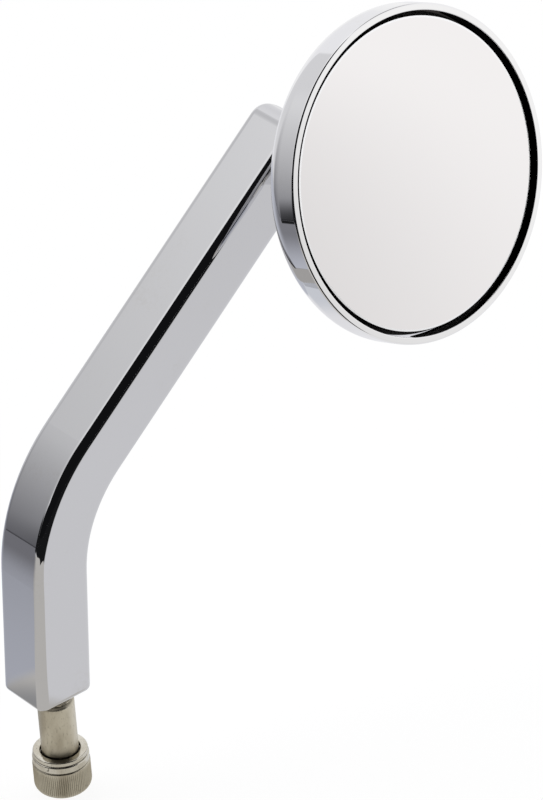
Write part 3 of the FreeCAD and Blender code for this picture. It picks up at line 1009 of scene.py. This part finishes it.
@dataclass
class WasherPair:
    """The plain washer and the split spring washer on the screw, with their edges broken."""

    plain_bore: float = 4.95 * MM
    plain_edge: float = 0.3 * MM
    spring_bore: float = 4.7875 * MM
    spring_edge: float = 0.35 * MM
    slit: float = 0.9 * MM
    slit_angle: float = 25.0
    steps_round: int = 180
    steps_corner: int = 5
    sharp_angle: float = 50.0
    colour: Colour = (0.70, 0.672, 0.595)
    stained: Colour = (0.54, 0.503, 0.42)
    roughness: float = 0.10

    def finish(self, name: str) -> NickelPlate:
        """Nickel that shines more than the screw's."""
        return NickelPlate(name, colour=self.colour, stained=self.stained, roughness=self.roughness)

    def section(self, inner: float, outer: float, low: float, high: float, edge: float) -> np.ndarray:
        """Rectangle with rounded corners.

        Args:
            inner: smallest radius.
            outer: largest radius.
            low: lowest height.
            high: highest height.
            edge: radius of the corners.

        Returns:
            Radius and height of the points, each corner a quarter circle about its own centre.
        """
        quarter = np.radians(np.linspace(0.0, 90.0, self.steps_corner))
        angle = np.concatenate([quarter + step * math.pi / 2.0 for step in range(4)])
        right = np.repeat([outer - edge, inner + edge, inner + edge, outer - edge], self.steps_corner)
        up = np.repeat([high - edge, high - edge, low + edge, low + edge], self.steps_corner)
        return np.stack([right + edge * np.cos(angle), up + edge * np.sin(angle)], axis=-1)

    def ring(self, section: np.ndarray, gap: np.ndarray, lean: np.ndarray) -> Surface:
        """Section carried round the Z axis from one side of a gap to the other.

        Angle = gap / 2 + lean + share (turn - gap), with the gap and the lean given
        as angles for each point of the section.

        Args:
            section: radius and height of the section's points.
            gap: angle left open.
            lean: angle that the gap's middle is turned by.

        Returns:
            Rows along the turn, with painted shade as recess at the lower face, which meets the next piece.
        """
        share = np.linspace(0.0, 1.0, self.steps_round)[:, None]
        angle = gap[None, :] / 2.0 + lean[None, :] + share * (2.0 * math.pi - gap[None, :])
        radius = section[None, :, 0]
        height = np.broadcast_to(section[None, :, 1], angle.shape)
        points = np.stack([radius * np.cos(angle), radius * np.sin(angle), height], axis=-1)
        middle = 0.5 * (section[:, 1].max() + section[:, 1].min())
        half = 0.5 * (section[:, 1].max() - section[:, 1].min())
        edge_share = (middle - section[:, 1]) / half
        # Painted shade: the lower face and its corners darken where the washer sits on the next piece.
        recess = np.broadcast_to(np.clip(2.2 * edge_share - 1.4, 0.0, 0.8)[None, :], angle.shape)
        return Surface(points, recess)

    def build_plain(self) -> None:
        """The plain washer, a whole ring: the last row, which would lie on the first, is left off."""
        low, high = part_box("flat_washer")
        section = self.section(self.plain_bore, high.x, low.z, high.z, self.plain_edge)
        still = np.zeros(len(section))
        open_ring = self.ring(section, still, still)
        surface = Surface(open_ring.points[:-1], open_ring.recess[:-1], Ends.JOINED)
        add_piece("flat_washer_detailed", surface, self.sharp_angle,
                  self.finish("nickel_plain_washer_finish"), "flat_washer", Body.STEM)

    def build_spring(self) -> None:
        """The spring washer, open at its slanting slit."""
        low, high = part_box("lock_washer")
        outer = max(high.x, -low.x, high.y)
        section = self.section(self.spring_bore, outer, low.z, high.z, self.spring_edge)
        middle = 0.5 * (low.z + high.z)
        slope = math.radians(self.slit_angle)
        gap = self.slit / math.cos(slope) / section[:, 0]
        lean = -(section[:, 1] - middle) * math.tan(slope) / section[:, 0]
        add_piece("lock_washer_detailed", self.ring(section, gap, lean), self.sharp_angle,
                  self.finish("nickel_spring_washer_finish"), "lock_washer", Body.STEM)

    def build(self) -> None:
        """Make both washers."""
        self.build_plain()
        self.build_spring()


@dataclass
class BarStem:
    """The bent bar and the grub screw in it."""

    grub_colour: Colour = (0.05, 0.05, 0.052)
    grub_stain: Colour = (0.03, 0.028, 0.026)
    grub_roughness: float = 0.38

    def build(self) -> None:
        """Chrome the bar and blacken the grub screw."""
        dress("stem", ChromePlate("chrome_bar_finish"))
        dress("stud_grub_screw", TurnedMetal("black_grub_screw_finish", colour=self.grub_colour,
                                             stained=self.grub_stain, roughness=self.grub_roughness))


@dataclass
class MirrorHead:
    """The cup, the glass and the pad between them. Heights count from the ball's centre."""

    rim_radius: float = 40.0 * MM
    rim_width: float = 1.7 * MM
    rim_edge: float = 0.42 * MM
    rim_inner_edge: float = 0.15 * MM
    rim_front: float = 31.1 * MM
    ledge_height: float = 26.25 * MM
    back_plane: float = 19.4 * MM
    back_edge: float = 6.8 * MM
    boss_radius: float = 12.0 * MM
    boss_blend: float = 12.0 * MM
    boss_edge: float = 3.0 * MM
    boss_end: float = -4.58 * MM
    socket_radius: float = 8.19 * MM
    cup_bore: float = 9.05 * MM
    plug_bore: float = 10.05 * MM
    plug_step: float = 12.34 * MM
    pocket_inner: float = 15.0 * MM
    pocket_outer: float = 31.8 * MM
    pocket_floor: float = 22.4 * MM
    glass_radius: float = 36.95 * MM
    glass_front: float = 30.05 * MM
    glass_back: float = 27.05 * MM
    bevel_width: float = 0.45 * MM
    bevel_depth: float = 0.06 * MM
    columns: int = 320
    sharp_angle: float = 40.0
    glass_sharp_angle: float = 4.0
    pad_colour: Colour = (0.06, 0.057, 0.056)
    pad_shade: Colour = (0.04, 0.038, 0.037)
    pad_roughness: float = 0.75
    pad_grain: float = 2600.0
    pad_grain_depth: float = 0.08 * MM

    def axis(self) -> Axis:
        """The head's own frame, from the joint that spins it."""
        spin = next(joint for joint in frame["joints"] if joint["child"] == Body.HEAD.value)
        return Axis(tuple(spin["pos_m"]), tuple(spin["axis"]))

    def outside(self) -> List[ProfileRun]:
        """The cup's profile from the ledge up the rim's inner side and down its outside to the boss.

        Returns:
            The stretches in order.
        """
        rim = self.rim_radius
        inner = rim - self.rim_width
        edge = self.rim_edge
        edge_height = self.rim_front - edge
        inner_edge = self.rim_inner_edge
        inner_height = self.rim_front - inner_edge
        back_centre = (rim - self.back_edge, self.back_plane + self.back_edge)
        blend_centre = (self.boss_radius + self.boss_blend, self.back_plane - self.boss_blend)
        boss_centre = (self.boss_radius - self.boss_edge, self.boss_end + self.boss_edge)
        return [
            straight((inner, self.ledge_height), (inner, inner_height), 5, 0.03),
            rounded((inner + inner_edge, inner_height), inner_edge, 180, 90, 7),
            straight((inner + inner_edge, self.rim_front), (rim - edge, self.rim_front), 5, 0.08),
            rounded((rim - edge, edge_height), edge, 90, 0, 9),
            straight((rim, edge_height), (rim, back_centre[1]), 6, 0.03),
            rounded(back_centre, self.back_edge, 0, -90, 25),
            straight((back_centre[0], self.back_plane), (blend_centre[0], self.back_plane), 6, 0.03),
            rounded(blend_centre, self.boss_blend, 90, 180, 25),
            straight((self.boss_radius, blend_centre[1]), (self.boss_radius, boss_centre[1]), 6, 0.03),
            rounded(boss_centre, self.boss_edge, 0, -90, 13),
        ]

    def inside(self) -> List[ProfileRun]:
        """The rest of the profile: the ball's socket, the bores, the pocket and back to the ledge.

        Returns:
            The stretches in order.
        """
        ledge = self.ledge_height
        boss_end = self.boss_radius - self.boss_edge
        mouth_angle = math.degrees(math.asin(self.boss_end / self.socket_radius))
        mouth = self.socket_radius * math.cos(math.radians(mouth_angle))
        inner = self.rim_radius - self.rim_width
        corners = [
            (self.socket_radius, 0.0), (self.cup_bore, 0.0), (self.cup_bore, self.plug_step),
            (self.plug_bore, self.plug_step), (self.plug_bore, ledge), (self.pocket_inner, ledge),
            (self.pocket_inner, self.pocket_floor), (self.pocket_outer, self.pocket_floor),
            (self.pocket_outer, ledge), (inner, ledge),
        ]
        runs = [
            straight((boss_end, self.boss_end), (mouth, self.boss_end), 4),
            rounded((0.0, 0.0), self.socket_radius, mouth_angle, 0.0, 12),
        ]
        return runs + [straight(first, last, 3) for first, last in zip(corners, corners[1:])]

    def glass_profile(self) -> List[ProfileRun]:
        """The glass from near the middle of its face, over the bevel and round to its back.

        Returns:
            The stretches in order.
        """
        face = self.glass_radius - self.bevel_width
        start = 0.1 * self.glass_radius
        edge_top = self.glass_front - self.bevel_depth
        return [
            straight((start, self.glass_front), (face, self.glass_front), 6),
            straight((face, self.glass_front), (self.glass_radius, edge_top), 3),
            straight((self.glass_radius, edge_top), (self.glass_radius, self.glass_back), 5),
            straight((self.glass_radius, self.glass_back), (start, self.glass_back), 6),
        ]

    def build(self) -> None:
        """Turn the cup and the glass in fine steps and dress them and the pad."""
        axis = self.axis()
        cup = turned(axis, self.outside() + self.inside(), self.columns, Ends.JOINED)
        add_piece("mirror_cup_turned", cup, self.sharp_angle,
                  ChromeCup("chrome_cup_finish", axis, rim_height=self.rim_front,
                            rim_inner=self.rim_radius - self.rim_width),
                  "mirror_housing", Body.HEAD)
        glass = turned(axis, self.glass_profile(), self.columns, Ends.FANS)
        add_piece("mirror_glass_ground", glass, self.glass_sharp_angle,
                  SilveredGlass("silvered_glass_finish", axis, radius=self.glass_radius,
                                bevel_width=self.bevel_width, bevel_depth=self.bevel_depth,
                                front=self.glass_front),
                  "mirror_glass", Body.HEAD)
        dress("glass_pad", MouldedPlastic("black_pad_finish", axis, colour=self.pad_colour,
                                          shaded=self.pad_shade, roughness=self.pad_roughness,
                                          grain_scale=self.pad_grain, grain_depth=self.pad_grain_depth))


@dataclass
class BallJoint:
    """The pieces inside the cup's boss."""

    head: MirrorHead
    brass: Colour = (0.72, 0.52, 0.25)
    brass_stain: Colour = (0.55, 0.38, 0.17)
    spring_steel: Colour = (0.09, 0.088, 0.085)
    spring_stain: Colour = (0.05, 0.047, 0.043)
    spring_roughness: float = 0.36
    stud_rings: float = 3200.0
    bar_front: Point = (0.0, -1.0, 0.0)

    def build(self) -> None:
        """Dress the stud, the seats, the cup, the springs and the plug."""
        axis = self.head.axis()
        stud_axis = Axis(axis.place, self.bar_front)
        dress("ball_stud", TurnedMetal("bright_stud_finish", stud_axis, ring_scale=self.stud_rings))
        dress("pressure_cup", TurnedMetal("bright_cup_finish", axis))
        dress("preload_plug", TurnedMetal("brass_plug_finish", axis, colour=self.brass,
                                          stained=self.brass_stain))
        dress("disc_springs", TurnedMetal("spring_steel_finish", axis, colour=self.spring_steel,
                                          stained=self.spring_stain, roughness=self.spring_roughness))
        dress("ball_seat_rear", MouldedPlastic("rear_seat_finish", axis))
        dress("ball_seat_front", MouldedPlastic("front_seat_finish", axis))


@dataclass(frozen=True)
class SkyLobe:
    """A round soft patch of the studio's tent.

    Attributes:
        azimuth: degrees from +Y towards +X.
        elevation: degrees above the floor.
        core: radius in degrees inside which the patch has its full colour.
        edge: radius in degrees at which it has faded out.
        colour: its light.
    """

    azimuth: float
    elevation: float
    core: float
    edge: float
    colour: Colour


@dataclass(frozen=True)
class FloorPatch:
    """A round soft tint that the floor has in reflections.

    Attributes:
        centre: x and y on the floor.
        core: radius inside which the tint is full.
        edge: radius at which it has faded out.
        colour: its light.
    """

    centre: Tuple[float, float]
    core: float
    edge: float
    colour: Colour


@dataclass(frozen=True)
class SideCard:
    """An upright card behind the mirror that only reflections see, dark at its foot and bright above.

    Attributes:
        middle: x and y of its middle on the floor.
        facing: azimuth in degrees that it faces.
        half: half its width.
        top: its upper edge.
        slope: heights between which its light rises evenly.
        foot_colour: light at its foot.
        top_colour: light from the upper height on.
        strip: height of the dark strip that it stands on.
        strip_colour: light of that strip.
        plain_start: distances to the right of its foot between which it turns to one plain light.
        plain_colour: that light.
        foot: x and y on the floor that plain_start counts from.
        corner: core and edge radius of the dark that fills its lower left corner.
        side_fade: share of its half width at which it starts to fade out.
        top_fade: share of its height at which it starts to fade out.
    """

    middle: Tuple[float, float] = (-0.099, 0.412)
    facing: float = 136.2
    half: float = 0.3865
    top: float = 0.9
    slope: Tuple[float, float] = (-0.030, 0.520)
    foot_colour: Colour = (0.190, 0.190, 0.208)
    top_colour: Colour = (1.11, 1.11, 1.11)
    strip: float = 6.0 * MM
    strip_colour: Colour = (0.10, 0.10, 0.11)
    plain_start: Tuple[float, float] = (0.14, 0.28)
    plain_colour: Colour = (0.78, 0.78, 0.79)
    foot: Tuple[float, float] = (-0.2532, 0.2642)
    corner: Tuple[float, float] = (0.11, 0.17)
    side_fade: float = 0.9
    top_fade: float = 0.75


UNLIT: Colour = (0.012, 0.012, 0.013)
UNLIT_SKY: Colour = (0.008, 0.008, 0.009)
WARM_FLOOR: Colour = (0.667, 0.648, 0.615)
COOL_FLOOR: Colour = (0.86, 0.86, 0.878)


@dataclass
class Studio:
    """White tent, pale floor, side card and camera."""

    white: Colour = (1.0, 1.0, 1.0)
    tent: Colour = (0.97, 0.97, 0.985)
    floor_tint: Colour = (0.86, 0.86, 0.885)
    floor_glow: float = 0.908
    floor_cover: float = 0.18
    floor_half: float = 6.0
    floor_clearance: float = 0.1 * MM
    far_floor_start: float = 0.45
    far_floor_end: float = 0.80
    card: SideCard = SideCard()
    sky: Tuple[SkyLobe, ...] = (
        SkyLobe(0.0, 90.0, 20.0, 65.0, (1.1, 1.1, 1.11)),
        SkyLobe(95.0, 50.0, 6.0, 26.0, (0.25, 0.25, 0.26)),
        SkyLobe(217.5, 33.0, 58.0, 62.0, UNLIT_SKY),
        SkyLobe(-82.0, 0.0, 15.0, 19.0, UNLIT_SKY),
    )
    patches: Tuple[FloorPatch, ...] = (
        FloorPatch((-13.743, -14.518), 19.900, 20.075, (0.80, 0.798, 0.80)),
        FloorPatch((0.060, -0.070), 0.050, 0.200, COOL_FLOOR),
        FloorPatch((-0.010, 0.040), 0.020, 0.070, (0.68, 0.70, 0.745)),
        FloorPatch((-0.689, -1.102), 1.151, 1.181, UNLIT),
        FloorPatch((-2.708, -3.594), 3.500, 3.700, UNLIT),
        FloorPatch((-3.400, 0.100), 2.970, 3.000, UNLIT),
        FloorPatch((-0.235, 0.000), 0.165, 0.175, WARM_FLOOR),
        FloorPatch((-0.093, -0.062), 0.119, 0.123, WARM_FLOOR),
        FloorPatch((0.060, -0.070), 0.044, 0.050, COOL_FLOOR),
        FloorPatch((-0.048, 0.249), 0.197, 0.203, (0.55, 0.567, 0.63)),
        FloorPatch((-0.207, 0.216), 0.050, 0.240, (0.23, 0.23, 0.252)),
        FloorPatch((-0.036, 0.034), 0.008, 0.022, (0.38, 0.38, 0.382)),
        FloorPatch((-0.272, 0.224), 0.012, 0.022, (0.015, 0.015, 0.016)),
    )
    camera_place: Point = (-0.654119, -0.946053, 0.822097)
    camera_azimuth: float = 37.534
    camera_elevation: float = 32.928
    camera_roll: float = -4.059
    focal_pixels: float = 5804.58
    image_height: int = 800
    sensor: float = 36.0
    clip: Span = (0.01, 50.0)

    def __post_init__(self) -> None:
        """Put the floor just under the screw's head."""
        low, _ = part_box("mount_screw")
        self.floor_height = low.z - self.floor_clearance

    def build(self) -> None:
        """Set the stage."""
        bpy.context.scene.view_settings.view_transform = "Standard"
        self.build_world()
        self.build_floor()
        self.build_card()
        self.build_camera()

    def build_world(self) -> None:
        """The tent: white to the camera, and a white sky with soft patches to everything else.

        Each patch mixes its colour in by a smooth step of the cosine between the ray
        and the patch's middle.
        """
        world = bpy.data.worlds.new("white_tent")
        bpy.context.scene.world = world
        world.use_nodes = True
        world.node_tree.nodes.clear()
        bench = NodeBench(world.node_tree)
        ray = bench.add("ShaderNodeTexCoord").outputs["Generated"]
        colour: Any = rgba(self.tent)
        for lobe in self.sky:
            cosine = bench.dot(ray, heading(lobe.azimuth, lobe.elevation))
            share = bench.ramp(cosine, math.cos(math.radians(lobe.edge)), math.cos(math.radians(lobe.core)))
            colour = bench.mix(share, colour, rgba(lobe.colour))
        seen = bench.add("ShaderNodeLightPath").outputs["Is Camera Ray"]
        colour = bench.mix(seen, colour, rgba(self.white))
        light = bench.add("ShaderNodeBackground", {"Color": colour, "Strength": 1.0})
        bench.put_out(light.outputs[0], "ShaderNodeOutputWorld")

    def stage_sheet(self, name: str, corners: Sequence[Point],
                    material: bpy.types.Material) -> bpy.types.Object:
        """A flat sheet of the stage.

        Args:
            name: its name.
            corners: its four corners in order.
            material: its material.

        Returns:
            The sheet.
        """
        mesh = bpy.data.meshes.new(name)
        mesh.from_pydata(list(corners), [], [(0, 1, 2, 3)])
        sheet = bpy.data.objects.new(name, mesh)
        sheet.data.materials.append(material)
        bpy.context.scene.collection.objects.link(sheet)
        LOG.info("%s: %s", name, material.name)
        return sheet

    def build_floor(self) -> None:
        """A plain white floor under the screw's head that keeps a faint shadow."""
        half = self.floor_half
        height = self.floor_height
        corners = [(-half, -half, height), (half, -half, height), (half, half, height), (-half, half, height)]
        self.stage_sheet("studio_floor", corners, self.floor_material())

    def reflected_floor(self, bench: NodeBench) -> Socket:
        """The floor as reflections see it: pale, lighter far out, with round tints in order.

        Args:
            bench: the floor's nodes.

        Returns:
            The reflected colour.
        """
        place = bench.add("ShaderNodeTexCoord").outputs["Object"]
        height = self.floor_height
        far = bench.ramp(bench.distance(place, (0.0, 0.0, height)), self.far_floor_start, self.far_floor_end)
        colour = bench.mix(far, rgba(self.floor_tint), rgba(self.white))
        for patch in self.patches:
            away = bench.distance(place, (patch.centre[0], patch.centre[1], height))
            colour = bench.mix(bench.ramp(away, patch.edge, patch.core), colour, rgba(patch.colour))
        return colour

    def floor_material(self) -> bpy.types.Material:
        """White to the camera, with a little diffuse cover for the shadow, and tinted in reflections.

        Returns:
            The material.
        """
        made, bench = empty_material("studio_floor_finish")
        tinted = bench.add("ShaderNodeEmission", {"Color": self.reflected_floor(bench), "Strength": 1.0})
        glow = bench.add("ShaderNodeEmission", {"Color": rgba(self.white), "Strength": self.floor_glow})
        cover = bench.add("ShaderNodeBsdfDiffuse", {"Color": rgba((self.floor_cover,) * 3)})
        plain = bench.add("ShaderNodeAddShader", {0: glow.outputs[0], 1: cover.outputs[0]})
        mirrored = bench.add("ShaderNodeLightPath").outputs["Is Glossy Ray"]
        both = bench.add("ShaderNodeMixShader", {0: mirrored, 1: plain.outputs[0], 2: tinted.outputs[0]})
        bench.put_out(both.outputs[0])
        return made

    def build_card(self) -> None:
        """The side card, seen in reflections only."""
        card = self.card
        along = heading(card.facing + 90.0, 0.0) * card.half
        low = Vector((card.middle[0], card.middle[1], self.floor_height))
        rise = Vector((0.0, 0.0, card.top - self.floor_height))
        feet = [low - along, low + along]
        corners = [tuple(corner) for corner in feet + [feet[1] + rise, feet[0] + rise]]
        sheet = self.stage_sheet("studio_side_card", corners, self.card_material())
        sheet.visible_camera = False
        sheet.visible_diffuse = False
        sheet.visible_shadow = False

    def card_material(self) -> bpy.types.Material:
        """Light that rises evenly with the height and fades out towards the card's sides and top.

        Returns:
            The material.
        """
        card = self.card
        made, bench = empty_material("studio_side_card_finish")
        place = bench.add("ShaderNodeTexCoord").outputs["Object"]
        height = bench.add("ShaderNodeSeparateXYZ", {0: place}).outputs["Z"]
        along = heading(card.facing + 90.0, 0.0)
        offset = along.x * card.middle[0] + along.y * card.middle[1]
        sideways = bench.math("ABSOLUTE", bench.math("SUBTRACT", bench.dot(place, along), offset))
        sides = bench.ramp(sideways, card.half, card.side_fade * card.half)
        foot_offset = along.x * card.foot[0] + along.y * card.foot[1]
        to_right = bench.math("SUBTRACT", foot_offset, bench.dot(place, along))
        left_end = Vector((card.middle[0], card.middle[1], self.floor_height)) + along * card.half
        corner = bench.ramp(bench.distance(place, left_end), card.corner[1], card.corner[0])
        upper = bench.ramp(height, card.top, card.top_fade * card.top)
        colour = bench.mix(bench.slope(height, *card.slope), rgba(card.foot_colour), rgba(card.top_colour))
        strip_top = self.floor_height + card.strip
        above = bench.ramp(height, 0.5 * (self.floor_height + strip_top), strip_top)
        colour = bench.mix(above, rgba(card.strip_colour), colour)
        colour = bench.mix(bench.ramp(to_right, *card.plain_start), colour, rgba(card.plain_colour))
        colour = bench.mix(corner, colour, rgba(UNLIT))
        light = bench.add("ShaderNodeEmission", {"Color": colour, "Strength": 1.0})
        clear = bench.add("ShaderNodeBsdfTransparent")
        inputs = {0: bench.math("MULTIPLY", sides, upper), 1: clear.outputs[0], 2: light.outputs[0]}
        both = bench.add("ShaderNodeMixShader", inputs)
        bench.put_out(both.outputs[0])
        return made

    def build_camera(self) -> None:
        """The camera at the photograph's place, with its lens worked out from the image's height."""
        data = bpy.data.cameras.new("view_camera")
        data.sensor_width = self.sensor
        data.lens = self.focal_pixels * self.sensor / self.image_height
        data.clip_start, data.clip_end = self.clip
        forward = heading(self.camera_azimuth, -self.camera_elevation)
        level = heading(self.camera_azimuth + 90.0, 0.0)
        upright = level.cross(forward)
        roll = math.radians(self.camera_roll)
        right = math.cos(roll) * level + math.sin(roll) * upright
        up = math.cos(roll) * upright - math.sin(roll) * level
        camera = bpy.data.objects.new("view_camera", data)
        turn = Matrix((right, up, -forward)).transposed().to_4x4()
        camera.matrix_world = Matrix.Translation(self.camera_place) @ turn
        bpy.context.scene.collection.objects.link(camera)
        bpy.context.scene.camera = camera
        LOG.info("view_camera: lens %.1f", data.lens)


def main() -> None:
    """Build the studio and dress the mirror, sub-assembly by sub-assembly."""
    logging.basicConfig(level=logging.INFO, format="%(name)s %(message)s")
    head = MirrorHead()
    for part in (Studio(), BarStem(), MountScrew(), WasherPair(), head, BallJoint(head)):
        part.build()


if __name__ == "__main__":
    main()
